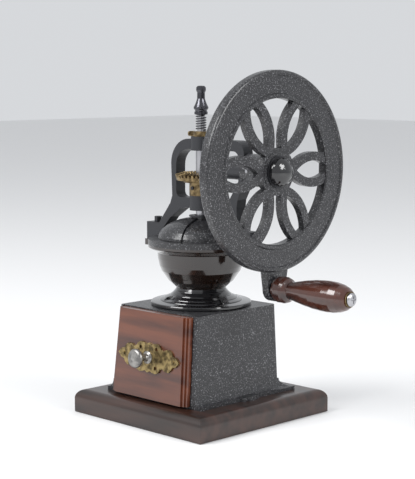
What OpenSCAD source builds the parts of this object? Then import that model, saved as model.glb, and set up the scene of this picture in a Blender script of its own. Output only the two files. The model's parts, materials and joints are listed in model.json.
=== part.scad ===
// Hand-wheel coffee grinder on a wooden plinth.
// Origin: centre of the plinth's underside, which is also the grinding spindle's axis.
// +Z is up, the drawer faces -Y, and the hand wheel turns about the X axis on the +X side.

/* [Plinth] */
// Side length of the square plinth
plinth_w = 160; // [146:1:190]
// Thickness of the plinth
plinth_h = 20; // [15:0.5:30]
// Radius of the rounded upper edge
plinth_edge_r = 8; // [3:0.5:10]

/* [Body casting] */
// Height of the casting above the plinth
body_h = 77.6; // [70:0.1:110]
// Width of the casting at its top
body_top_w = 97; // [90:0.5:104]
// Width of the walls where they meet the foot
body_foot_w = 103; // [98:0.5:108]
// Distance from the spindle to the back face at the top
body_back = 44.7; // [44:0.1:50]
// How far the back face leans out over the height
back_lean = 2; // [0:0.1:4]
// Distance from the spindle to the walls' front edges at the top
body_front = 53; // [50:0.5:56]
// How far the front leans out over the height
front_lean = 7.3; // [2:0.1:9]
// Thickness of the walls
wall_t = 4; // [3:0.1:6]
// Thickness of the top plate
plate_t = 5; // [4:0.1:8]
// Radius of the upright corners
body_corner_r = 3; // [1:0.1:5]
// Side length of the foot flange
flange_w = 118; // [116:1:130]
// Thickness of the foot flange
flange_t = 3; // [2:0.1:5]
// Height of the hollow moulding between flange and wall
cove_h = 8; // [4:0.5:12]
// Radius of the shell ornament's middle lobe
shell_lobe_r = 7; // [5:0.5:9]

/* [Drawer] */
// Thickness of the drawer front
front_t = 7.4; // [6:0.1:10]
// How far the drawer front sits back between the walls
front_inset = 1.3; // [0.5:0.1:3]
// Width of the moulding along the upright edges of the front
front_cove_w = 5.5; // [3:0.1:8]
// Gap between the drawer front and what surrounds it
front_gap = 0.4; // [0.3:0.05:1]
// Height of the drawer's sides
drawer_side_h = 60; // [40:1:62]
// Thickness of the drawer's sides and back
drawer_side_t = 6; // [4:0.5:8]
// Thickness of the drawer's bottom
drawer_bottom_t = 4; // [3:0.5:6]
// Height of the runners under the drawer
runner_h = 3.2; // [3:0.1:6]
// Width of each runner
runner_w = 8; // [5:0.5:12]
// Length of the lock-plate ornament on the front
escutcheon_w = 76; // [50:1:82]
// Height of the lock-plate ornament
escutcheon_h = 26; // [18:1:34]
// Thickness of the lock-plate ornament
escutcheon_t = 1.6; // [1:0.1:3]
// Radius of the pull knob
knob_r = 8.3; // [6:0.1:12]
// How far the knob stands out from the front
knob_reach = 19; // [14:0.5:26]
// Height of the knob's axis above the plinth
knob_z = 38; // [28:0.5:50]

/* [Collar and hopper] */
// Radius of the collar's lowest disc
collar_r = 44.3; // [41:0.1:47]
// Height of the stepped collar
collar_h = 15.4; // [13:0.1:22]
// Radius of the neck between collar and bowl
neck_r = 21.8; // [20.5:0.1:25]
// Bore of the collar, which holds the outer burr
chamber_r = 18.4; // [16.5:0.1:19]
// Height of the hopper bowl, from the neck to its rim
bowl_h = 38; // [32:0.1:50]
// Greatest radius of the bowl below its rim
bowl_r = 38.7; // [36:0.1:42]
// Wall of the bowl
bowl_wall = 2.6; // [2:0.1:4]
// Radius of the rim and of the cover that sits on it
rim_r = 46.8; // [44:0.1:47.5]
// Thickness of the cover's ring
ring_t = 5; // [3:0.1:8]
// Radius of the dome at its foot
dome_r = 38; // [34:0.1:40]
// Height of the dome above the ring
dome_h = 19; // [15:0.1:21]
// Thickness of the swivelling lid
lid_t = 1.5; // [1:0.1:2.5]
// Thickness of the fixed dome under the lid
dome_t = 2.6; // [2:0.1:4]
// Angle that the lid covers
lid_angle = 176; // [140:1:178]

/* [Yoke] */
// Depth of the yoke from front to back
yoke_t = 11.2; // [9:0.1:15]
// Height of the feet above the bowl's lugs
foot_h = 15.5; // [12:0.1:20]
// Distance from the spindle to the outer face of a foot
foot_out = 64.5; // [63:0.1:70]
// Length of a foot along the lug
foot_w = 15.5; // [12:0.1:17]
// Thickness of the bowl's lugs under the feet
lug_t = 5.5; // [4:0.1:8]
// Height of the wheel's axis above the feet's underside
axis_h = 68.1; // [67.5:0.1:76]
// Height of the top bar above the wheel's axis
bar_rise = 24.3; // [22:0.1:30]
// Thickness of the top and bottom bars
bar_t = 9; // [7:0.1:12]
// Left edge of the yoke's upper frame
frame_left = 32.2; // [30:0.1:38]
// Right edge of the yoke's upper frame
frame_right = 57; // [54:0.1:60]
// Width of the uprights
leg_w = 6.4; // [5:0.1:9]
// Radius of the boss round the wheel shaft
shaft_boss_r = 9; // [8:0.1:11]
// Length of the boss round the wheel shaft
shaft_boss_l = 31; // [24:0.5:31]
// Radius of the bosses round the spindle
spindle_boss_r = 9; // [8:0.1:11]

/* [Drive] */
// Teeth of the crown gear on the spindle
crown_teeth = 36; // [30:6:42]
// Teeth of the pinion on the wheel shaft
pinion_teeth = 12; // [12:1:14]
// Tooth module at the outer end of the teeth
gear_module = 1.25; // [1.15:0.01:1.3]
// Length of the teeth along the pitch cone
face_w = 7.5; // [5:0.1:8]
// Radius of the crown gear's hub
crown_hub_r = 10.3; // [8:0.1:12]
// Radius of the spindle
spindle_r = 4.5; // [3.5:0.1:5]
// Radius of the wheel shaft
shaft_r = 5; // [4:0.1:5.5]
// Wall of the bronze bushes
bush_t = 1.6; // [1.2:0.1:2]
// Clearance between a journal and its bush
run_fit = 0.05; // [0.02:0.01:0.09]

/* [Burrs] */
// Height of the outer burr ring
burr_h = 14; // [11:0.1:15]
// Smallest radius inside the outer burr
burr_bore = 13.2; // [12:0.1:14]
// Gap between the two burrs
burr_gap = 0.6; // [0.4:0.05:1.5]
// Number of blades on each burr
burr_blades = 8; // [6:1:12]

/* [Adjuster and finial] */
// Radius of the adjusting nut
adjuster_r = 7; // [6.5:0.1:8.5]
// Height of the adjusting nut and its folded lever
adjuster_h = 4.4; // [3.5:0.1:6]
// Reach of the lever from the spindle
lever_reach = 13.5; // [12:0.1:18]
// Mean radius of the tension spring
spring_r = 4.2; // [4.1:0.05:5]
// Thickness of the spring's wire
spring_wire = 1.2; // [0.9:0.05:1.3]
// Height of the tension spring
spring_h = 14; // [10:0.5:18]
// Height of the turned finial nut
finial_h = 25.4; // [20:0.2:34]

/* [Hand wheel] */
// Outer radius of the wheel
wheel_r = 84.4; // [80:0.1:86]
// Depth of the rim from front to back
rim_t = 10.4; // [8:0.1:12]
// Distance from the spindle to the wheel's front face
wheel_front = 92.4; // [90:0.1:96]
// Radius of the opening inside the rim
web_r = 61; // [58:0.1:64]
// Width of the petal bars
petal_bar = 7.6; // [6:0.1:9]
// Depth of the petal bars
petal_t = 6; // [5:0.1:7.5]
// Half width of the space inside each petal
petal_half = 7.5; // [6:0.1:8.5]
// Distance from the wheel's centre to the inner tip of the space in a petal
petal_start = 24; // [23:0.1:28]
// Number of petals
petals = 6; // [5:1:6]
// Radius of the hub's disc
hub_r = 20; // [18:0.1:23]
// Radius of the hub's boss behind the wheel
hub_boss_r = 14; // [11:0.1:16]
// Radius of the domed nut on the hub
dome_nut_r = 12.5; // [10:0.1:14]

/* [Crank handle] */
// Distance from the wheel's centre to the handle's axis
crank_r = 98.4; // [96:0.1:104]
// Radius of the lug below the rim
lug_r = 10.6; // [8:0.1:12]
// Length of the wooden grip
grip_l = 78; // [64:0.5:92]
// Greatest radius of the grip
grip_r = 12.9; // [11:0.1:15]
// Radius of the bolt that carries the grip
grip_bolt_r = 3; // [2.5:0.1:3.5]

/* [Fasteners] */
// Shank radius of the wood and casting screws
screw_r = 1.9; // [1.5:0.05:2.2]
// Across-corners radius of the foot bolts' heads
bolt_head_r = 3.6; // [3.2:0.1:4.5]

/* [Hidden] */
$fn = 64;
eps = 0.01;
seat = 0.02;
slip = 0.3;
hull_fn = 32;

iron = [0.10, 0.10, 0.11];
satin = [0.17, 0.17, 0.18];
gloss = [0.05, 0.04, 0.04];
bronze = [0.62, 0.50, 0.30];
steel = [0.62, 0.62, 0.64];
walnut = [0.24, 0.12, 0.08];
mahogany = [0.45, 0.20, 0.11];
pale_wood = [0.72, 0.56, 0.38];

body_z = plinth_h;
body_top = body_z + body_h;
flange_top = body_z + flange_t;
cove_top = flange_top + cove_h;
neck_z = body_top + collar_h;
rim_z = neck_z + bowl_h;
cover_top = rim_z + ring_t;
dome_top = cover_top + dome_h;
axis_z = rim_z + axis_h;
bar_top = axis_z + bar_rise;
bar_bottom = bar_top - bar_t;

function lean_at(z, amount) = amount * (body_top - z) / body_h;
function half_w_at(z) = (body_top_w + (body_foot_w - body_top_w) * (body_top - z) / body_h) / 2;
function front_at(z) = -(body_front + lean_at(z, front_lean));
function back_at(z) = body_back + lean_at(z, back_lean);
function arc(cx, cy, r, a0, a1, n = 8) = [for (i = [0:n]) let (a = a0 + (a1 - a0) * i / n)
    [cx + r * cos(a), cy + r * sin(a)]];
function ellipse_arc(rx, ry, cy, a0, a1, n = 12) = [for (i = [0:n]) let (a = a0 + (a1 - a0) * i / n)
    [rx * cos(a), cy + ry * sin(a)]];

module along_x(x, y = 0, z = 0) { translate([x, y, z]) rotate([0, 90, 0]) children(); }
module along_y(x, y, z) { translate([x, y, z]) rotate([90, 0, 0]) children(); }
module tube(ro, ri, h) {
    difference() {
        cylinder(r = ro, h = h);
        translate([0, 0, -1]) cylinder(r = ri, h = h + 2);
    }
}

// Plinth: two crossed mouldings meet in mitres at the corners
plinth_screw_x = (body_foot_w - wall_t) / 2 + 0.5;
plinth_screw_y = body_back + back_lean - wall_t / 2 + 0.5;
plinth_screw_head_r = screw_r * 2;
plinth_screw_depth = 3;

module plinth_section() {
    inner = plinth_w / 2 - plinth_edge_r;
    translate([-plinth_w / 2, 0]) square([plinth_w, plinth_h - plinth_edge_r]);
    translate([-inner, 0]) square([2 * inner, plinth_h]);
    for (s = [-1, 1]) translate([s * inner, plinth_h - plinth_edge_r]) circle(r = plinth_edge_r);
}

module at_plinth_screws() {
    for (sx = [-1, 1], y = [-plinth_screw_y, plinth_screw_y])
        translate([sx * plinth_screw_x, y, 0]) children();
}

module plinth() {
    color(walnut) difference() {
        intersection() {
            rotate([90, 0, 0]) linear_extrude(plinth_w + 2, center = true) plinth_section();
            rotate([90, 0, 90]) linear_extrude(plinth_w + 2, center = true) plinth_section();
        }
        at_plinth_screws() {
            translate([0, 0, -1]) cylinder(r = screw_r + seat, h = plinth_h + 2);
            translate([0, 0, -1]) cylinder(r = plinth_screw_head_r + seat, h = plinth_screw_depth + 1);
        }
    }
}

module plinth_screws() {
    head_h = 2;
    color(steel) at_plinth_screws() difference() {
        union() {
            translate([0, 0, plinth_screw_depth - head_h]) cylinder(r = plinth_screw_head_r, h = head_h);
            translate([0, 0, plinth_screw_depth - eps]) cylinder(r = screw_r, h = plinth_h + flange_t);
        }
        translate([-plinth_screw_head_r, -0.4, 0])
            cube([2 * plinth_screw_head_r, 0.8, plinth_screw_depth - 1]);
    }
}

// Body casting: leaning walls, open at the front and below, on a moulded foot
module body_corner(x, y, z) { translate([x, y, z]) cylinder(r = body_corner_r, h = eps, $fn = hull_fn); }

module body_block() {
    hull() for (z = [flange_top, body_top - eps], s = [-1, 1]) {
        body_corner(s * (half_w_at(z) - body_corner_r), front_at(z) + body_corner_r, z);
        body_corner(s * (half_w_at(z) - body_corner_r), back_at(z) - body_corner_r, z);
    }
}

function cove_side(wall, foot, n = 6) = [for (i = [0:n]) let (a = 90 * i / n)
    [wall + (foot - wall) * (1 - cos(a)), cove_top - cove_h * sin(a)]];

module foot_moulding() {
    wall = half_w_at(cove_top);
    side = cove_side(wall, flange_w / 2);
    back = cove_side(back_at(cove_top), flange_w / 2);
    front = front_at(flange_top);
    intersection() {
        rotate([90, 0, 0]) linear_extrude(flange_w, center = true)
            polygon(concat([for (p = side) p], [[flange_w / 2, body_z], [-flange_w / 2, body_z]],
                [for (i = [len(side) - 1:-1:0]) [-side[i][0], side[i][1]]]));
        rotate([90, 0, 90]) linear_extrude(flange_w, center = true)
            polygon(concat([for (p = back) p], [[flange_w / 2, body_z], [front, body_z],
                [front, flange_top], [front_at(cove_top), cove_top]]));
    }
}

module shell_ornament() {
    h = flange_t + 1;
    translate([flange_w / 2 - shell_lobe_r * 0.35, 0, body_z]) cylinder(r = shell_lobe_r, h = h);
    for (s = [-1, 1]) translate([flange_w / 2 - shell_lobe_r * 0.3, s * shell_lobe_r, body_z])
        cylinder(r = shell_lobe_r * 0.7, h = h - 0.5);
}

module body_cavity() {
    z0 = body_z - 1;
    z1 = body_top - plate_t;
    near = -(body_front + front_lean + 10);
    intersection() {
        rotate([90, 0, 0]) linear_extrude(4 * flange_w, center = true)
            polygon([[-half_w_at(z0) + wall_t, z0], [half_w_at(z0) - wall_t, z0],
                [half_w_at(z1) - wall_t, z1], [-half_w_at(z1) + wall_t, z1]]);
        rotate([90, 0, 90]) linear_extrude(flange_w, center = true)
            polygon([[sill_y, z0], [back_at(z0) - wall_t, z0], [back_at(z1) - wall_t, z1],
                [near, z1], [near, flange_top], [sill_y, flange_top]]);
    }
}

// The drawer front's seat: a leaning slot between the walls, in front of sill and plate
sill_y = -(body_front + front_lean - front_inset - wall_t - 3);

module front_seat() {
    z0 = body_z - 1;
    z1 = body_top + 1;
    near = -(body_front + front_lean + 10);
    intersection() {
        rotate([90, 0, 0]) linear_extrude(4 * flange_w, center = true)
            polygon([[-half_w_at(z0) + wall_t, z0], [half_w_at(z0) - wall_t, z0],
                [half_w_at(z1) - wall_t, z1], [-half_w_at(z1) + wall_t, z1]]);
        rotate([90, 0, 90]) linear_extrude(flange_w, center = true)
            polygon([[near, z0], [front_back_at(z0) + front_gap, z0],
                [front_back_at(z1) + front_gap, z1], [near, z1]]);
    }
}

module body_casting() {
    color(iron) difference() {
        union() {
            body_block();
            foot_moulding();
            for (a = [0, 90, 180]) rotate([0, 0, a]) shell_ornament();
        }
        body_cavity();
        front_seat();
        translate([0, 0, body_top - plate_t - 1]) cylinder(r = throat_r, h = plate_t + 2);
        at_collar_screws() translate([0, 0, body_top - plate_t - 1])
            cylinder(r = screw_r + seat, h = plate_t + 2);
        at_plinth_screws() translate([0, 0, body_z - 1])
            cylinder(r = screw_r + seat, h = flange_t + plinth_screw_depth + 1 + eps);
    }
}

// Drawer: a moulded mahogany front on a plain box that rides on two runners
drawer_z = body_z + runner_h + slip;
drawer_half = half_w_at(drawer_z + drawer_side_h) - wall_t - 1;
drawer_rear = body_back - wall_t - 1.7;
front_low = body_z + 2.2;
front_high = body_top - 1;
face_lean = atan(front_lean / body_h);

function front_back_at(z) = front_at(z) + front_inset;
function front_face_at(z) = front_back_at(z) - front_t;
function front_half_at(z) = half_w_at(z) - wall_t - front_gap;

module front_slab(near, far) {
    rotate([90, 0, 90]) linear_extrude(2 * flange_w, center = true)
        polygon([[front_back_at(front_low) - near, front_low], [front_back_at(front_low) - far, front_low],
            [front_back_at(front_high) - far, front_high], [front_back_at(front_high) - near, front_high]]);
}

module front_outline(inset) {
    low = front_half_at(front_low) - inset;
    high = front_half_at(front_high) - inset;
    rotate([90, 0, 0]) linear_extrude(2 * flange_w, center = true)
        polygon([[-low, front_low], [low, front_low], [high, front_high], [-high, front_high]]);
}

module drawer_front() {
    bead = front_t * 0.62;
    color(mahogany) difference() {
        union() {
            intersection() { front_slab(0, bead); front_outline(0); }
            intersection() { front_slab(0, front_t * 0.8); front_outline(front_cove_w * 0.45); }
            intersection() { front_slab(0, front_t); front_outline(front_cove_w); }
        }
        at_knob(front_t + 1) cylinder(r = screw_r + seat, h = front_t + 2);
        at_escutcheon_pins() translate([0, 0, -pin_l - eps]) cylinder(r = pin_r + seat, h = pin_l + 1);
    }
}

module drawer_side(s) {
    inner = drawer_half - drawer_side_t;
    top = drawer_z + drawer_side_h;
    rotate([90, 0, 90]) translate([0, 0, s > 0 ? inner : -drawer_half]) linear_extrude(drawer_side_t)
        polygon([[front_back_at(drawer_z), drawer_z], [drawer_rear, drawer_z],
            [drawer_rear, top], [front_back_at(top), top]]);
}

module drawer_left_side() { color(pale_wood) drawer_side(-1); }
module drawer_right_side() { color(pale_wood) drawer_side(1); }

module drawer_back() {
    inner = drawer_half - drawer_side_t;
    color(pale_wood) translate([-inner, drawer_rear - drawer_side_t, drawer_z])
        cube([2 * inner, drawer_side_t, drawer_side_h]);
}

module drawer_bottom() {
    inner = drawer_half - drawer_side_t;
    color(pale_wood) rotate([90, 0, 90]) translate([0, 0, -inner]) linear_extrude(2 * inner)
        polygon([[front_back_at(drawer_z), drawer_z], [drawer_rear - drawer_side_t, drawer_z],
            [drawer_rear - drawer_side_t, drawer_z + drawer_bottom_t],
            [front_back_at(drawer_z + drawer_bottom_t), drawer_z + drawer_bottom_t]]);
}

module drawer_runners() {
    color(pale_wood) for (s = [-1, 1])
        translate([s * (drawer_half - drawer_side_t - runner_w / 2) - runner_w / 2, sill_y + slip, body_z])
            cube([runner_w, drawer_rear - sill_y - slip, runner_h]);
}

// Everything on the face stands square to the leaning front
knob_height = body_z + knob_z;
pin_r = 0.8;
pin_l = 4;

module at_face(x, up, out) {
    translate([0, front_face_at(knob_height), knob_height]) rotate([90 - face_lean, 0, 0])
        translate([x, up, out]) children();
}
module at_knob(back) { at_face(0, 0, -back) children(); }
module at_escutcheon_pins() { for (s = [-1, 1]) at_face(s * escutcheon_w * 0.41, 0, 0) children(); }

// Quarter of the scrolled outline, as shares of half the length and half the height
scroll_edge = [[0, 1], [0.09, 0.86], [0.16, 0.96], [0.26, 1], [0.35, 0.9], [0.41, 0.66], [0.5, 0.58],
    [0.57, 0.72], [0.68, 0.74], [0.76, 0.56], [0.8, 0.36], [0.9, 0.3]];

module escutcheon() {
    w = escutcheon_w / 2;
    h = escutcheon_h / 2;
    n = len(scroll_edge) - 1;
    color(bronze) difference() {
        at_face(0, 0, 0) linear_extrude(escutcheon_t) difference() {
            polygon(concat([for (p = scroll_edge) [w * p[0], h * p[1]]], [[w, 0]],
                [for (i = [n:-1:0]) [w * scroll_edge[i][0], -h * scroll_edge[i][1]]],
                [for (i = [1:n]) [-w * scroll_edge[i][0], -h * scroll_edge[i][1]]], [[-w, 0]],
                [for (i = [n:-1:1]) [-w * scroll_edge[i][0], h * scroll_edge[i][1]]]));
            for (s = [-1, 1]) translate([s * escutcheon_w * 0.41, 0]) circle(r = pin_r + seat);
            for (s = [-1, 1], t = [-1, 1]) translate([s * w * 0.26, t * h * 0.62]) circle(r = h * 0.12);
        }
        at_knob(1) cylinder(r = screw_r + seat, h = escutcheon_t + 2);
    }
}

module escutcheon_pins() {
    color(bronze) at_escutcheon_pins() {
        translate([0, 0, -pin_l]) cylinder(r = pin_r, h = pin_l + escutcheon_t + eps);
        translate([0, 0, escutcheon_t]) cylinder(r = pin_r * 1.8, h = 0.8);
    }
}

module drawer_knob() {
    stem = knob_reach - 6;
    crest = knob_reach - escutcheon_t;
    edge = 2.6;
    color(steel) at_face(0, 0, escutcheon_t) difference() {
        rotate_extrude() polygon(concat([[0, 0], [5.5, 0], [5.5, 1], [3.6, 2.4], [2.8, 4.5],
            [2.8, stem - 3.5], [knob_r * 0.75, stem - 1]],
            arc(knob_r - edge, crest - edge - 0.6, edge, -30, 90, 8), [[0, crest]]));
        translate([0, 0, -1]) cylinder(r = screw_r + seat, h = crest - 2.4);
    }
}

module knob_screw() {
    head_h = 2.2;
    color(steel) at_knob(front_t) {
        translate([0, 0, -head_h]) cylinder(r = screw_r * 2, h = head_h + eps);
        cylinder(r = screw_r, h = front_t + knob_reach - 6);
    }
}

// Collar: turned steps that carry the bowl and hold the outer burr
throat_r = burr_bore + 1.6;
collar_screw_r = (collar_r + neck_r) / 2 - 1.5;
collar_screw_turn = 20;
collar_steps = [[1, 0.22], [0.83, 0.33], [0.73, 0.45], [0.61, 0.62], [0.53, 0.85]];

module at_collar_screws() {
    for (i = [0:3]) rotate([0, 0, 90 * i - 90 - collar_screw_turn]) translate([collar_screw_r, 0, 0])
        children();
}

module collar() {
    edge = 0.8;
    steps = [for (s = collar_steps, k = [0:2]) let (r = collar_r * s[0], z = collar_h * s[1])
        k == 0 ? [r, z - edge] : k == 1 ? [r - edge * 0.3, z - edge * 0.3] : [r - edge, z]];
    color(gloss) difference() {
        translate([0, 0, body_top]) rotate_extrude()
            polygon(concat([[0, 0], [collar_r - edge, 0], [collar_r, edge]], steps,
                [[neck_r, collar_h], [0, collar_h]]));
        translate([0, 0, body_top - 1]) cylinder(r = chamber_r, h = collar_h + 2);
        at_collar_screws() translate([0, 0, body_top - 1]) cylinder(r = screw_r + seat, h = collar_h + 2);
        at_collar_screws() translate([0, 0, collar_screw_z]) cylinder(r = screw_r * 2 + 0.2, h = collar_h);
    }
}

collar_screw_z = body_top + 3.6;

module collar_screws() {
    head_h = 2;
    color(iron) at_collar_screws() difference() {
        union() {
            translate([0, 0, collar_screw_z]) cylinder(r = screw_r * 2, h = head_h);
            translate([0, 0, body_top - plate_t + 0.5])
                cylinder(r = screw_r, h = collar_screw_z - body_top + plate_t);
        }
        translate([-screw_r * 2 - 1, -0.4, collar_screw_z + head_h - 0.8]) cube([screw_r * 4 + 2, 0.8, 2]);
    }
}

// Hopper: a turned bowl with two lugs, and a cover whose half dome swivels open
bowl_profile = [[0.02, 0], [0.42, 0.16], [0.78, 0.39], [0.89, 0.51], [0.97, 0.68], [1, 0.82]];
rim_lip = 2.8;
lug_half = yoke_t / 2 + 2.4;
mouth_r = bowl_r - bowl_wall;
bowl_bore = chamber_r - 1.8;
spigot_z = body_top + burr_h + 0.2;
dome_clear = 0.3;

function bowl_points(offset_in) = [for (p = bowl_profile)
    [neck_r + (bowl_r - neck_r) * p[0] - offset_in, neck_z + bowl_h * p[1]]];

foot_bolt_x = foot_out - foot_w * 0.6;

module at_feet() { for (s = [0, 180]) rotate([0, 0, s]) translate([foot_bolt_x, 0, 0]) children(); }

module hopper_bowl() {
    color(gloss) difference() {
        union() {
            rotate_extrude() polygon(concat([[0, neck_z]], bowl_points(0),
                [[bowl_r + 0.6, rim_z - lug_t - 0.6], [rim_r - 0.8, rim_z - rim_lip],
                [rim_r, rim_z - rim_lip + 0.8], [rim_r, rim_z], [0, rim_z]]));
            translate([-foot_out, -lug_half, rim_z - lug_t]) cube([2 * foot_out, 2 * lug_half, lug_t]);
            translate([0, 0, spigot_z]) cylinder(r = chamber_r - seat, h = neck_z - spigot_z + eps);
        }
        rotate_extrude() polygon(concat([[0, spigot_z - 1], [bowl_bore, spigot_z - 1],
            [bowl_bore, neck_z + 1.5]], [for (i = [1:len(bowl_profile) - 1]) bowl_points(bowl_wall)[i]],
            [[mouth_r, rim_z + 1], [0, rim_z + 1]]));
        at_feet() translate([0, 0, rim_z - lug_t - 1]) cylinder(r = screw_r + 0.6 + seat, h = lug_t + 2);
    }
}

function dome_arc(drop, n = 12) = ellipse_arc(dome_r - drop, dome_h - drop, cover_top, 0, 90, n);

module dome_shell(outer_drop, inner_drop) {
    rotate_extrude() difference() {
        polygon(concat([[0, cover_top]], dome_arc(outer_drop)));
        polygon(concat([[0, cover_top - 1], [dome_r - inner_drop, cover_top - 1]], dome_arc(inner_drop)));
    }
}

module sector(a0, a1, r, z, h) {
    n = 12;
    translate([0, 0, z]) linear_extrude(h) polygon(concat([[0, 0]],
        [for (i = [0:n]) let (a = a0 + (a1 - a0) * i / n) [r * cos(a), r * sin(a)]]));
}

lid_mid = -160;
lid_hub_r = 8;
feed_inset = 14;

module hopper_cover() {
    drop = lid_t + dome_clear;
    color(iron) difference() {
        union() {
            translate([0, 0, rim_z]) tube(rim_r, dome_r - drop - dome_t, ring_t);
            translate([0, 0, rim_z - 3]) tube(mouth_r - seat, mouth_r - 2.4, 4);
            dome_shell(drop, drop + dome_t);
            translate([0, 0, dome_top - drop - 1]) cylinder(r = lid_hub_r, h = drop + 1 + slip);
        }
        translate([0, 0, cover_top - 1]) cylinder(r = spindle_r + 1, h = dome_h + 10);
        intersection() {
            sector(lid_mid - lid_angle / 2 + feed_inset, lid_mid + lid_angle / 2 - feed_inset,
                rim_r, cover_top + 1, dome_h + 5);
            tube_ring(lid_hub_r + 3, dome_r - drop - 1.5);
        }
    }
}

module tube_ring(r0, r1) { translate([0, 0, cover_top - 1]) tube(r1, r0, dome_h + 10); }

module hopper_lid() {
    color(iron) intersection() {
        dome_shell(0, lid_t);
        sector(lid_mid - lid_angle / 2, lid_mid + lid_angle / 2, 2 * rim_r, cover_top + slip, dome_h + 5);
        tube_ring(lid_hub_r + slip, 2 * rim_r);
    }
}

module lid_washer() {
    color(iron) translate([0, 0, dome_top + slip]) tube(lid_hub_r + 2.5, spindle_r + 1.5, 1.2);
}

// Yoke: one flat casting that straddles the dome and carries both shafts
upper_corner_r = frame_left - 10;
right_corner_r = 11;
low_bar_top = axis_z - 27.6;
low_bar_bottom = low_bar_top - bar_t;
foot_top = rim_z + foot_h;
foot_in = foot_out - foot_w;

function yoke_outline() = concat(
    [[-foot_out, rim_z], [-foot_out, foot_top], [-foot_in + 0.6, foot_top]],
    [[-frame_left - 6.2, axis_z - 40], [-frame_left - 1.2, axis_z - 33.5], [-frame_left + 1.2, axis_z - 27]],
    arc(-frame_left + upper_corner_r, bar_top - upper_corner_r, upper_corner_r, 180, 90, 10),
    arc(frame_right - right_corner_r, bar_top - right_corner_r, right_corner_r, 90, 0, 8),
    [[frame_right, axis_z - 8], [frame_right - 2.5, axis_z - 17], [foot_in + 0.5, axis_z - 26],
    [foot_in - 0.4, axis_z - 33], [foot_in + 0.4, foot_top + 4], [foot_in + 0.8, foot_top]],
    [[foot_out, foot_top], [foot_out, rim_z], [foot_in, rim_z], [foot_in - 2.2, rim_z + 7]],
    [[33.6, rim_z + 21.6], [20.7, low_bar_bottom - 1.4], [13, low_bar_bottom], [-13, low_bar_bottom],
    [-20.7, low_bar_bottom - 1.4], [-33.6, rim_z + 21.6]],
    [[-foot_in + 2.2, rim_z + 7], [-foot_in, rim_z]]);

module yoke_window() {
    l = -frame_left + leg_w;
    r = frame_right - leg_w;
    r_low = foot_in - leg_w - 1;
    polygon(concat(
        arc(l + 15, bar_bottom - 15, 15, 90, 180, 8),
        arc(l + 5, low_bar_top + 5, 5, 180, 270, 5),
        arc(r_low - 5, low_bar_top + 5, 5, 270, 340, 4),
        [[r, axis_z - 10]],
        arc(r - 6, bar_bottom - 6, 6, 0, 90, 5)));
}

boss_in = frame_right + 1 - shaft_boss_l;
top_boss_h = 2.2;
low_boss_up = 2.4;
low_boss_down = 1.6;
boss_top = bar_top + top_boss_h;
bush_r = spindle_r + bush_t;
shaft_bush_r = shaft_r + bush_t;

module yoke() {
    color(satin) difference() {
        union() {
            rotate([90, 0, 0]) linear_extrude(yoke_t, center = true) difference() {
                polygon(yoke_outline());
                yoke_window();
            }
            translate([0, 0, bar_bottom - 1]) cylinder(r = spindle_boss_r, h = bar_t + top_boss_h + 1);
            translate([0, 0, low_bar_bottom - low_boss_down])
                cylinder(r = spindle_boss_r + 1, h = bar_t + low_boss_down + low_boss_up);
            along_x(boss_in, 0, axis_z) cylinder(r = shaft_boss_r, h = shaft_boss_l);
        }
        translate([0, 0, bar_bottom - 5]) cylinder(r = bush_r + seat, h = bar_t + top_boss_h + 10);
        translate([0, 0, low_bar_bottom - 5]) cylinder(r = bush_r + seat, h = bar_t + 10);
        along_x(boss_in - 1, 0, axis_z) cylinder(r = shaft_bush_r + seat, h = shaft_boss_l + 2);
        at_feet() translate([0, 0, rim_z - 1]) cylinder(r = screw_r + 0.6 + seat, h = foot_h + 2);
    }
}

module foot_bolts() {
    head_h = 5;
    color(iron) at_feet() {
        translate([0, 0, foot_top]) cylinder(r = bolt_head_r, h = head_h, $fn = 6);
        translate([0, 0, rim_z - lug_t - 5]) cylinder(r = screw_r + 0.6, h = foot_h + lug_t + 5 + eps);
    }
}

module foot_nuts() {
    nut_h = 4;
    color(iron) at_feet() translate([0, 0, rim_z - lug_t - nut_h]) difference() {
        cylinder(r = bolt_head_r + 0.4, h = nut_h, $fn = 6);
        translate([0, 0, -1]) cylinder(r = screw_r + 0.6 + seat, h = nut_h + 2);
    }
}

module spindle_bushes() {
    color(bronze) {
        translate([0, 0, bar_bottom - 1]) tube(bush_r, spindle_r + run_fit, bar_t + top_boss_h + 1);
        translate([0, 0, low_bar_bottom - low_boss_down])
            tube(bush_r, spindle_r + run_fit, bar_t + low_boss_down + low_boss_up);
    }
}

module shaft_bushes() {
    bush_l = shaft_boss_l * 0.36;
    color(bronze) for (x = [boss_in, boss_in + shaft_boss_l - bush_l])
        along_x(x, 0, axis_z) tube(shaft_bush_r, shaft_r + run_fit, bush_l);
}

// Burrs: a bladed cone turning inside a bladed ring
burr_z = body_top;
burr_flare = 2.8;
blade_h = 0.7;

module outer_burr() {
    color(steel) difference() {
        translate([0, 0, burr_z]) cylinder(r = chamber_r - seat, h = burr_h);
        translate([0, 0, burr_z - eps]) rotate_extrude() polygon([[0, 0], [burr_bore, 0],
            [burr_bore + burr_flare * 0.4, burr_h * 0.5], [burr_bore + burr_flare, burr_h + 1],
            [0, burr_h + 1]]);
    }
}

module inner_burr() {
    base = burr_bore - burr_gap;
    top = base * 0.62;
    color(steel) difference() {
        union() {
            translate([0, 0, burr_z - 2]) rotate_extrude() polygon([[0, 0], [base - blade_h, 0],
                [base - blade_h, 3], [top - blade_h, burr_h], [0, burr_h]]);
            for (i = [0:burr_blades - 1]) rotate([0, 0, 360 * i / burr_blades])
                translate([0, 0, burr_z - 2]) rotate([90, 0, 0]) linear_extrude(2, center = true)
                    polygon([[spindle_r + 1, 0], [base, 0], [base, 3], [top, burr_h - 0.5],
                        [spindle_r + 1, burr_h - 0.5]]);
        }
        translate([0, 0, burr_z - 3]) cylinder(r = spindle_r + seat, h = burr_h + 5);
    }
}

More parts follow.
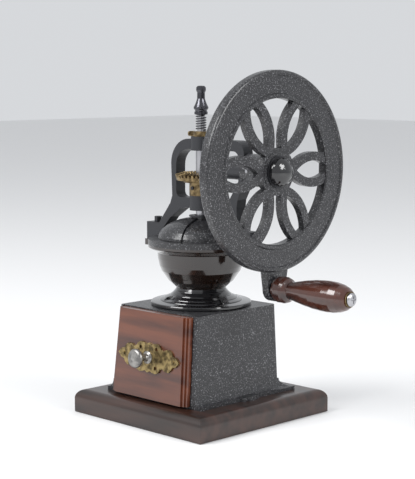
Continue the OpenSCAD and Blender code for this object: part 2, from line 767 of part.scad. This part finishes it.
module burr_nut() {
    color(steel) translate([0, 0, burr_z - 7]) difference() {
        cylinder(r = spindle_r + 3.5, h = 5 - seat, $fn = 6);
        translate([0, 0, -1]) cylinder(r = spindle_r + seat, h = 8);
    }
}

// Spindle and crown gear: the gear's teeth lie on a cone that meets the pinion's at the axes' crossing
spindle_low = burr_z - 8.5;
thread_r = spindle_r - 1.3;
finial_z = boss_top + adjuster_h + 2 * seat + spring_h + slip;
spindle_top = finial_z + finial_h * 0.4;
crown_pitch_r = gear_module * crown_teeth / 2;
pinion_pitch_r = gear_module * pinion_teeth / 2;
crown_cone = atan(crown_teeth / pinion_teeth);
pinion_cone = 90 - crown_cone;
cone_l = crown_pitch_r / sin(crown_cone);
inner_share = (cone_l - face_w) / cone_l;
pressure = 20;
crown_add = 0.62 * gear_module;
pinion_add = 1.12 * gear_module;
tooth_clear = 0.35;
crown_thick = 0.42;
pinion_thick = 0.47;
crown_back = axis_z - pinion_pitch_r - pinion_add - tooth_clear - 2.4;

function inv(a) = tan(a) * 180 / PI - a;
function roll_at(base, rho) = rho <= base ? 0 : acos(base / rho);
// Half angle of a tooth at height h over the pitch cone, on the developed back cone
function tooth_half(h, pitch_r, cone, teeth, thick) =
    let (rv = pitch_r / cos(cone), base = rv * cos(pressure))
    (180 * thick * cos(cone) / teeth + inv(pressure) - inv(roll_at(base, rv + h))) / cos(cone);
// Point at height h and angle a on the outer end of the teeth; the gear's axis is +Z and the apex the origin
function cone_point(h, a, cone) = let (r = cone_l * sin(cone) + h * cos(cone))
    [r * cos(a), r * sin(a), -cone_l * cos(cone) + h * sin(cone)];
function tooth_ring(add, ded, pitch_r, cone, teeth, thick) = [for (i = [0:teeth - 1], k = [0:7])
    let (side = k < 4 ? -1 : 1, step = k < 4 ? k : 7 - k, h = -ded + (add + ded) * step / 3)
    cone_point(h, 360 * i / teeth + side * tooth_half(h, pitch_r, cone, teeth, thick), cone)];

// Point straight below or above p, at radius r and height z
function moved(p, r, z) = [p[0] * r / norm([p[0], p[1]]), p[1] * r / norm([p[0], p[1]]), z];

// Teeth from the outer end to the same outline shrunk towards the apex, closed round a hollow core
module bevel_teeth(add, ded, pitch_r, cone, teeth, thick, base_r, base_z, core_r, core_z) {
    outer = tooth_ring(add, ded, pitch_r, cone, teeth, thick);
    n = len(outer);
    rings = concat([for (p = outer) p * inner_share], outer, [for (p = outer) moved(p, base_r, base_z)],
        [for (p = outer) moved(p, core_r, base_z)], [for (p = outer) moved(p, core_r, core_z)]);
    polyhedron(rings, [for (r = [0:4], i = [0:n - 1]) let (j = (i + 1) % n, q = (r + 1) % 5)
        each [[r * n + i, q * n + j, q * n + i], [r * n + i, r * n + j, q * n + j]]], convexity = 12);
}

module spindle() {
    color(steel) difference() {
        union() {
            translate([0, 0, spindle_low]) cylinder(r = spindle_r, h = boss_top - spindle_low);
            translate([0, 0, boss_top - eps]) cylinder(r = thread_r, h = spindle_top - boss_top + eps);
        }
        translate([0, 0, spindle_low - 1]) cylinder(r = 1, h = 3);
    }
}

// The toothed ring is pressed over the hub's spigot and rests on its flange
crown_core_r = crown_pitch_r * inner_share - 3;
crown_core_z = -(pinion_pitch_r + pinion_add) * inner_share - 1.5;

module crown_gear() {
    color(bronze) translate([0, 0, axis_z]) rotate([0, 0, 180 / crown_teeth])
        bevel_teeth(crown_add, pinion_add + tooth_clear, crown_pitch_r, crown_cone, crown_teeth, crown_thick,
            crown_pitch_r - 1, crown_back - axis_z, crown_core_r, crown_core_z);
}

module crown_hub() {
    flange = 2;
    color(bronze) difference() {
        union() {
            translate([0, 0, hub_low]) cylinder(r = crown_hub_r, h = crown_back - hub_low);
            translate([0, 0, crown_back - flange]) cylinder(r = crown_core_r + 3, h = flange);
            translate([0, 0, crown_back - eps])
                cylinder(r = crown_core_r - 0.04, h = axis_z + crown_core_z - crown_back + eps);
        }
        translate([0, 0, hub_low - 1]) cylinder(r = spindle_r + seat, h = axis_z - hub_low);
        along_y(0, 0, gear_screw_z) cylinder(r = gear_screw_r + seat, h = crown_hub_r + 2);
    }
}

gear_screw_r = 1.6;
hub_low = low_bar_top + low_boss_up + seat;
gear_screw_z = (hub_low + crown_back) / 2;

module gear_screw() {
    color(steel) along_y(0, -spindle_r - seat, gear_screw_z)
        cylinder(r = gear_screw_r, h = crown_hub_r - spindle_r - seat + 1);
}

pinion_end = boss_in - slip;
pinion_near = cone_l * cos(pinion_cone) * inner_share;
pinion_far = cone_l * cos(pinion_cone) + 1;
pinion_pin_x = (pinion_far + pinion_end) / 2;
pinion_pin_r = 0.8;
tail_r = shaft_r - 1.6;

// The pinion is a toothed ring pressed over a sleeve, as on the crown gear
pinion_core_r = tail_r + 0.7;

module pinion_ring() {
    color(steel) along_x(0, 0, axis_z) rotate([180, 0, 0])
        bevel_teeth(pinion_add, crown_add + tooth_clear, pinion_pitch_r, pinion_cone, pinion_teeth,
            pinion_thick, pinion_pitch_r - 0.5, -pinion_far, pinion_core_r, -pinion_near);
}

module pinion() {
    color(steel) along_x(0, 0, axis_z) difference() {
        union() {
            translate([0, 0, pinion_near]) cylinder(r = pinion_core_r - 0.04, h = pinion_end - pinion_near);
            translate([0, 0, pinion_far]) cylinder(r = pinion_pitch_r - 0.5, h = pinion_end - pinion_far);
        }
        cylinder(r = tail_r + seat, h = pinion_end + 1);
        translate([0, 0, pinion_pin_x]) rotate([90, 0, 0])
            cylinder(r = pinion_pin_r + seat, h = 3 * pinion_pitch_r, center = true);
    }
}

module pinion_pin() {
    color(steel) along_y(pinion_pin_x, pinion_pitch_r - 0.6, axis_z)
        cylinder(r = pinion_pin_r, h = 2 * pinion_pitch_r - 1.2);
}

// Wheel shaft and hand wheel; in the wheel's own plane +X is down and +Y is the back
washer_t = 1.2;
hub_front = wheel_front - 1.2;
hub_back = frame_right + 1 + washer_t + 2 * seat;
web_front = wheel_front - 1.6;
hub_pin_x = hub_back + 8;
hub_pin_r = 1.5;
nut_base = hub_front + washer_t;
shaft_end = nut_base + 6;

module wheel_shaft() {
    color(steel) along_x(0, 0, axis_z) difference() {
        union() {
            translate([0, 0, pinion_near - 2]) cylinder(r = tail_r, h = pinion_end - pinion_near + 2 + eps);
            translate([0, 0, pinion_end]) cylinder(r = shaft_r, h = shaft_end - pinion_end);
        }
        translate([0, 0, pinion_pin_x]) rotate([90, 0, 0])
            cylinder(r = pinion_pin_r + seat, h = 4 * shaft_r, center = true);
        translate([0, 0, hub_pin_x]) rotate([90, 0, 0])
            cylinder(r = hub_pin_r + seat, h = 4 * shaft_r, center = true);
    }
}

module shaft_washer() {
    color(steel) along_x(frame_right + 1 + seat, 0, axis_z)
        tube(shaft_boss_r - 0.5, shaft_r + seat, washer_t);
}

// Pointed oval between two arcs, grown outwards by some width
module pointed_oval(near, far, half, grow) {
    l = (far - near) / 2;
    r = (l * l + half * half) / (2 * half);
    intersection() {
        translate([near + l, half - r]) circle(r = r + grow, $fn = 96);
        translate([near + l, r - half]) circle(r = r + grow, $fn = 96);
    }
}

module petal_web() {
    far = web_r + 5;
    intersection() {
        union() {
            circle(r = hub_r);
            for (i = [0:petals - 1]) rotate(180 / petals + 360 * i / petals) difference() {
                pointed_oval(petal_start, far, petal_half, petal_bar);
                pointed_oval(petal_start, far, petal_half, 0);
            }
        }
        circle(r = web_r + 1);
    }
}

module rim() {
    f = wheel_front;
    b = wheel_front - rim_t;
    edge = 2.5;
    rotate_extrude($fn = 96) polygon(concat([[web_r, b + 1.5], [web_r, f - 1], [web_r + 1, f],
        [web_r + 3.4, f], [web_r + 4.4, f - 1.2], [wheel_r - 4.8, f - 1.2], [wheel_r - 3.9, f]],
        arc(wheel_r - edge, f - edge, edge, 90, 0, 5), arc(wheel_r - edge, b + edge, edge, 0, -90, 5),
        [[wheel_r - 5, b], [wheel_r - 6, b + 2.5], [web_r + 6, b + 2.5], [web_r + 5, b], [web_r + 1.5, b]]));
}

module crank_lug() {
    root = lug_r + 2.4;
    polygon([[wheel_r - 6, -root], [wheel_r - 1, -root], [crank_r, -lug_r + 0.1],
        [crank_r, lug_r - 0.1], [wheel_r - 1, root], [wheel_r - 6, root]]);
    translate([crank_r, 0]) circle(r = lug_r);
}

module hand_wheel() {
    color(iron) along_x(0, 0, axis_z) difference() {
        union() {
            rim();
            translate([0, 0, web_front - petal_t]) linear_extrude(petal_t) petal_web();
            translate([0, 0, web_front - petal_t - 1]) linear_extrude(petal_t + 1) crank_lug();
            translate([0, 0, web_front - petal_t])
                cylinder(r = hub_r - 3, h = hub_front - web_front + petal_t);
            translate([0, 0, hub_back]) cylinder(r = hub_boss_r, h = web_front - hub_back);
        }
        cylinder(r = shaft_r + seat, h = wheel_front + 1);
        translate([0, 0, hub_pin_x]) rotate([90, 0, 0])
            cylinder(r = hub_pin_r + seat, h = 4 * hub_boss_r, center = true);
        translate([crank_r, 0, 0]) cylinder(r = grip_bolt_r + seat, h = wheel_front + 1);
    }
}

module hub_pin() {
    color(steel) along_y(hub_pin_x, hub_boss_r - 0.3, axis_z)
        cylinder(r = hub_pin_r, h = 2 * hub_boss_r - 0.6);
}

module hub_washer() {
    color(steel) along_x(hub_front, 0, axis_z) tube(dome_nut_r + 1, shaft_r + seat, washer_t);
}

module dome_nut() {
    h = dome_nut_r * 0.8;
    color(gloss) along_x(nut_base, 0, axis_z) difference() {
        rotate_extrude() polygon(concat([[0, 0], [dome_nut_r, 0]],
            [for (a = [0:10:90]) [dome_nut_r * cos(a), 1.5 + (h - 1.5) * sin(a)]]));
        translate([0, 0, -1]) cylinder(r = shaft_r + seat, h = shaft_end - nut_base + 1 + slip);
    }
}

// Crank handle: a turned grip that spins on its bolt
crank_z = axis_z - crank_r;
grip_x = web_front + slip;
grip_end = grip_x + grip_l;
cap_r = 5.6;
grip_profile = [[0, 0.7], [0.02, 0.8], [0.05, 0.86], [0.13, 0.86], [0.165, 0.78], [0.185, 0.64], [0.2, 0.58],
    [0.24, 0.61], [0.31, 0.7], [0.42, 0.83], [0.55, 0.94], [0.66, 0.99], [0.73, 1], [0.82, 0.97], [0.9, 0.88],
    [0.96, 0.74], [1, 0.56]];

module grip() {
    color(mahogany) along_x(grip_x, 0, crank_z) difference() {
        rotate_extrude() polygon(concat([[0, 0]], [for (p = grip_profile) [grip_r * p[1], grip_l * p[0]]],
            [[0, grip_l]]));
        translate([0, 0, -1]) cylinder(r = grip_bolt_r + run_fit, h = grip_l + 2);
    }
}

module grip_bolt() {
    head_h = 3;
    head_x = grip_end + slip + 1;
    tail_x = web_front - petal_t - 3;
    color(steel) {
        along_x(tail_x, 0, crank_z) cylinder(r = grip_bolt_r, h = head_x - tail_x + eps);
        along_x(head_x, 0, crank_z) difference() {
            rotate_extrude() polygon(concat([[0, 0]], ellipse_arc(cap_r, head_h - 0.8, 0.8, 0, 90, 8)));
            for (a = [0, 90]) rotate([0, 0, a]) translate([-3, -0.5, head_h - 1]) cube([6, 1, 3]);
        }
    }
}

module grip_washer() {
    color(bronze) along_x(grip_end + slip, 0, crank_z) tube(cap_r + 0.8, grip_bolt_r + seat, 1);
}

// Adjuster: a nut and folded lever on the spindle's thread, with the spring and finial above
module adjusting_lever() {
    t = 1.2;
    w = 3;
    r = lever_reach;
    color(bronze) translate([0, 0, boss_top + seat]) difference() {
        union() {
            cylinder(r = adjuster_r, h = t);
            translate([-r + 1.5, -w, 0]) cube([r - 1.5, 2 * w, t]);
            translate([0, w, 0]) rotate([90, 0, 0]) linear_extrude(2 * w)
                polygon([[-r + 2, 0], [-r + 0.5, 0.4], [-r, 1.4], [-r, adjuster_h - 1.4],
                    [-r + 0.8, adjuster_h - 0.4], [-r + 2.4, adjuster_h], [-r + 2.4, adjuster_h - t],
                    [-r + t, adjuster_h - 1.6], [-r + t, 1.6], [-r + 2, t]]);
        }
        translate([0, 0, -1]) cylinder(r = thread_r + run_fit, h = t + 2);
    }
}

module adjusting_nut() {
    t = 1.2;
    color(bronze) translate([0, 0, boss_top + seat + t])
        tube(adjuster_r - 0.3, thread_r + run_fit, adjuster_h - t);
}

function spring_point(i, k, h, steps) = let (a = 360 * i / 16, b = 60 * k,
        r = spring_r + spring_wire / 2 * cos(b), z = spring_wire / 2 + (h - spring_wire) * i / steps)
    [r * cos(a), r * sin(a), z + spring_wire / 2 * sin(b)];

module tension_spring() {
    steps = 16 * 6;
    color(satin) translate([0, 0, finial_z - spring_h]) polyhedron(
        [for (i = [0:steps], k = [0:5]) spring_point(i, k, spring_h, steps)],
        concat([[for (k = [0:5]) k]], [[for (k = [5:-1:0]) 6 * steps + k]],
            [for (i = [0:steps - 1], k = [0:5]) let (j = (k + 1) % 6, a = 6 * i + k, b = 6 * i + j)
                each [[a, a + 6, b + 6], [a, b + 6, b]]]), convexity = 10);
}

finial_profile = [[4.6, 0], [5.9, 0.02], [5.9, 0.1], [5.2, 0.13], [5.6, 0.17], [6.4, 0.21], [6.5, 0.27],
    [5.6, 0.33], [4.5, 0.43], [3.5, 0.55], [3.4, 0.76], [4, 0.8], [4.35, 0.85], [4.2, 0.94], [3, 0.99],
    [0, 1]];

module finial_nut() {
    color(gloss) translate([0, 0, finial_z]) difference() {
        rotate_extrude() polygon(concat([[0, 0]], [for (p = finial_profile) [p[0], finial_h * p[1]]]));
        translate([0, 0, -1]) cylinder(r = thread_r + seat, h = spindle_top - finial_z + 1 + slip);
    }
}

plinth();
plinth_screws();
body_casting();
collar();
collar_screws();
hopper_bowl();
hopper_cover();
hopper_lid();
lid_washer();
yoke();
foot_bolts();
foot_nuts();
spindle_bushes();
shaft_bushes();
outer_burr();
inner_burr();
burr_nut();
spindle();
crown_gear();
crown_hub();
gear_screw();
pinion();
pinion_ring();
pinion_pin();
wheel_shaft();
shaft_washer();
hand_wheel();
hub_pin();
hub_washer();
dome_nut();
grip_bolt();
grip();
grip_washer();
adjusting_nut();
adjusting_lever();
tension_spring();
finial_nut();
drawer_front();
drawer_left_side();
drawer_right_side();
drawer_back();
drawer_bottom();
drawer_runners();
escutcheon();
escutcheon_pins();
drawer_knob();
knob_screw();
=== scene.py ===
import json
import math
import bpy
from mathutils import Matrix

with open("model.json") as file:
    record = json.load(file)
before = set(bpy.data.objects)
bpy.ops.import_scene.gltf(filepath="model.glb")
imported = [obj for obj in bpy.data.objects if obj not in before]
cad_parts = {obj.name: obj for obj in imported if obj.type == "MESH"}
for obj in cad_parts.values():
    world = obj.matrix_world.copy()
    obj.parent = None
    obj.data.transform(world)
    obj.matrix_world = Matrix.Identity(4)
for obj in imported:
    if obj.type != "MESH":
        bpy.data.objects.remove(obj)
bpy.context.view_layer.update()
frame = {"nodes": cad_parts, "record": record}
print("frame loaded")


# Nodes of one material: add() makes a node, gives it its settings and feeds its sockets
class Graph:
    def __init__(self, name):
        self.material = bpy.data.materials.new(name)
        self.material.use_nodes = True
        self.tree = self.material.node_tree
        self.surface = self.tree.nodes["Principled BSDF"]
        self.place = self.add("ShaderNodeTexCoord").outputs["Object"]

    def add(self, kind, settings=None, **sockets):
        node = self.tree.nodes.new(kind)
        for name, value in (settings or {}).items():
            setattr(node, name, value)
        for name, value in sockets.items():
            self.feed(node.inputs[name.replace("_", " ")], value)
        return node

    def feed(self, socket, value):
        if isinstance(value, bpy.types.NodeSocket):
            self.tree.links.new(value, socket)
        else:
            socket.default_value = value

    # Ramp between two stops, each a place from 0 to 1 and a colour
    def ramp(self, factor, stops):
        node = self.add("ShaderNodeValToRGB", Fac=factor)
        for mark, (where, colour) in zip(node.color_ramp.elements, stops):
            mark.position = where
            mark.color = (*colour, 1)
        return node.outputs["Color"]

    def noise(self, scale, detail, stretch=None):
        place = self.place
        if stretch:
            place = self.add("ShaderNodeMapping", Vector=place, Scale=stretch).outputs["Vector"]
        return self.add("ShaderNodeTexNoise", Vector=place, Scale=scale, Detail=detail).outputs["Fac"]

    def bump(self, height, strength, distance):
        node = self.add("ShaderNodeBump", Height=height, Strength=strength, Distance=distance)
        self.feed(self.surface.inputs["Normal"], node.outputs["Normal"])

    def finish(self, **values):
        for name, value in values.items():
            self.feed(self.surface.inputs[name.replace("_", " ")], value)
        return self.material


# Varnished wood: noise drawn out along the grain turns the colour from dark to light
def woodFinish(name, dark, light, grain, roughness, coat):
    streak = {"scale": 90, "detail": 6, "darkTo": 0.35, "lightFrom": 0.65, "relief": 0.15, "depth": 0.0002}
    varnishRoughness = 0.12
    g = Graph(name)
    streaks = g.noise(streak["scale"], streak["detail"], stretch=grain)
    g.bump(streaks, streak["relief"], streak["depth"])
    colour = g.ramp(streaks, [(streak["darkTo"], dark), (streak["lightFrom"], light)])
    return g.finish(Base_Color=colour, Roughness=roughness, Coat_Weight=coat, Coat_Roughness=varnishRoughness)


# Black paint with fine pale specks over a pebbled casting
def hammeredIron():
    paint = {"base": (0.012, 0.012, 0.014), "roughness": 0.38, "coat": 0.25}
    speck = {"colour": (0.19, 0.19, 0.2), "scale": 900, "detail": 2, "from": 0.56, "to": 0.7}
    pebble = {"scale": 420, "detail": 4, "relief": 0.45, "depth": 0.0004}
    g = Graph("hammeredIron")
    specks = g.noise(speck["scale"], speck["detail"])
    g.bump(g.noise(pebble["scale"], pebble["detail"]), pebble["relief"], pebble["depth"])
    colour = g.ramp(specks, [(speck["from"], paint["base"]), (speck["to"], speck["colour"])])
    return g.finish(Base_Color=colour, Roughness=paint["roughness"], Coat_Weight=paint["coat"])


# Paint or metal of one colour; grit is the strength of its fine unevenness
def plainFinish(name, colour, roughness, metallic=0.0, coat=0.0, grit=0.0):
    grain = {"scale": 600, "detail": 3, "depth": 0.0003}
    g = Graph(name)
    if grit:
        g.bump(g.noise(grain["scale"], grain["detail"]), grit, grain["depth"])
    return g.finish(Base_Color=(*colour, 1), Roughness=roughness, Metallic=metallic, Coat_Weight=coat)


# Metal whose tone shifts from clean to toned patches
def tonedMetal(name, clean, toned, roughness, scale):
    patch = {"detail": 5, "tonedTo": 0.38, "cleanFrom": 0.62, "relief": 0.2, "depth": 0.0003}
    metallic = 0.85
    g = Graph(name)
    patches = g.noise(scale, patch["detail"])
    g.bump(patches, patch["relief"], patch["depth"])
    colour = g.ramp(patches, [(patch["tonedTo"], toned), (patch["cleanFrom"], clean)])
    return g.finish(Base_Color=colour, Roughness=roughness, Metallic=metallic)


# One finish for each material slot of the record
finishes = {
    "plinth_wood": woodFinish("plinthWood", dark=(0.012, 0.005, 0.003), light=(0.04, 0.016, 0.01),
                              grain=(0.12, 1, 1), roughness=0.32, coat=0.4),
    "drawer_wood": woodFinish("drawerWood", dark=(0.045, 0.01, 0.004), light=(0.13, 0.035, 0.014),
                              grain=(0.1, 1, 1), roughness=0.3, coat=0.5),
    "grip_wood": woodFinish("gripWood", dark=(0.02, 0.005, 0.003), light=(0.07, 0.018, 0.009),
                            grain=(0.12, 1, 1), roughness=0.2, coat=0.8),
    "pale_wood": woodFinish("paleWood", dark=(0.33, 0.2, 0.1), light=(0.5, 0.34, 0.19),
                            grain=(1, 0.1, 1), roughness=0.6, coat=0.0),
    "hammered_iron": hammeredIron(),
    "satin_iron": plainFinish("satinIron", (0.03, 0.031, 0.035), roughness=0.42, metallic=0.3, grit=0.25),
    "gloss_black": plainFinish("glossBlack", (0.006, 0.006, 0.007), roughness=0.14, coat=0.8),
    "gloss_brown": plainFinish("glossBrown", (0.012, 0.006, 0.004), roughness=0.16, coat=0.8),
    "black_nickel": plainFinish("blackNickel", (0.08, 0.08, 0.09), roughness=0.2, metallic=0.9),
    "dark_steel": plainFinish("darkSteel", (0.05, 0.05, 0.055), roughness=0.38, metallic=0.8),
    "steel": plainFinish("steel", (0.45, 0.45, 0.47), roughness=0.3, metallic=1.0),
    "bronze": tonedMetal("bronze", clean=(0.3, 0.22, 0.11), toned=(0.1, 0.07, 0.035),
                         roughness=0.4, scale=260),
    "antique_brass": tonedMetal("antiqueBrass", clean=(0.36, 0.27, 0.12), toned=(0.09, 0.065, 0.03),
                                roughness=0.38, scale=220),
    "pewter": tonedMetal("pewter", clean=(0.36, 0.35, 0.33), toned=(0.16, 0.155, 0.15),
                         roughness=0.36, scale=200),
}
slotOf = {part["node"]: part["material_slot"] for part in frame["record"]["subparts"]}
for nodeName, piece in frame["nodes"].items():
    piece.data.materials.clear()
    piece.data.materials.append(finishes[slotOf[nodeName]])
print("finishes on", len(frame["nodes"]), "nodes")


# Pale flat floor, a little below the plinth
def makeFloor():
    paper = {"size": 12, "drop": 0.0005, "colour": (0.82, 0.82, 0.82), "roughness": 0.7}
    bpy.ops.mesh.primitive_plane_add(size=paper["size"], location=(0, 0, -paper["drop"]))
    floor = bpy.context.object
    floor.name = "floor"
    floor.data.materials.append(plainFinish("floorPaper", paper["colour"], paper["roughness"]))
    return floor


# Square area light that faces the middle of the plinth's underside
def softBox(name, place, power, size):
    light = bpy.data.lights.new(name, "AREA")
    light.energy = power
    light.size = size
    lamp = bpy.data.objects.new(name, light)
    lamp.location = place
    aim = -lamp.location.normalized()
    lamp.rotation_euler = aim.to_track_quat("-Z", "Y").to_euler()
    bpy.context.collection.objects.link(lamp)
    return lamp


# Places and sizes in metres, powers in watts
lights = {
    "keyLight": {"place": (-0.5, -1.5, 1.5), "power": 38, "size": 1.1},
    "sideLight": {"place": (1.7, 0.3, 1.1), "power": 22, "size": 0.9},
}
makeFloor()
softBox("keyLight", **lights["keyLight"])
softBox("sideLight", **lights["sideLight"])

# Low, slightly cool light from all round
studio = {"colour": (0.9, 0.92, 0.95, 1), "strength": 0.75}
world = bpy.data.worlds.new("studio")
world.use_nodes = True
background = world.node_tree.nodes["Background"]
background.inputs["Color"].default_value = studio["colour"]
background.inputs["Strength"].default_value = studio["strength"]
bpy.context.scene.world = world

# The photograph's camera, fitted to the plinth, axis and wheel
view = {"place": (0.87287, -0.86247, 0.30295), "down": 6.89, "azimuth": 45.08, "lens": 121.5, "sensor": 36}
lens = bpy.data.cameras.new("photoCamera")
lens.sensor_fit = "HORIZONTAL"
lens.sensor_width = view["sensor"]
lens.lens = view["lens"]
camera = bpy.data.objects.new("photoCamera", lens)
camera.location = view["place"]
camera.rotation_euler = (math.radians(90 - view["down"]), 0, math.radians(view["azimuth"]))
bpy.context.collection.objects.link(camera)
bpy.context.scene.camera = camera
bpy.context.scene.view_settings.view_transform = "Standard"
print("stage and camera set")
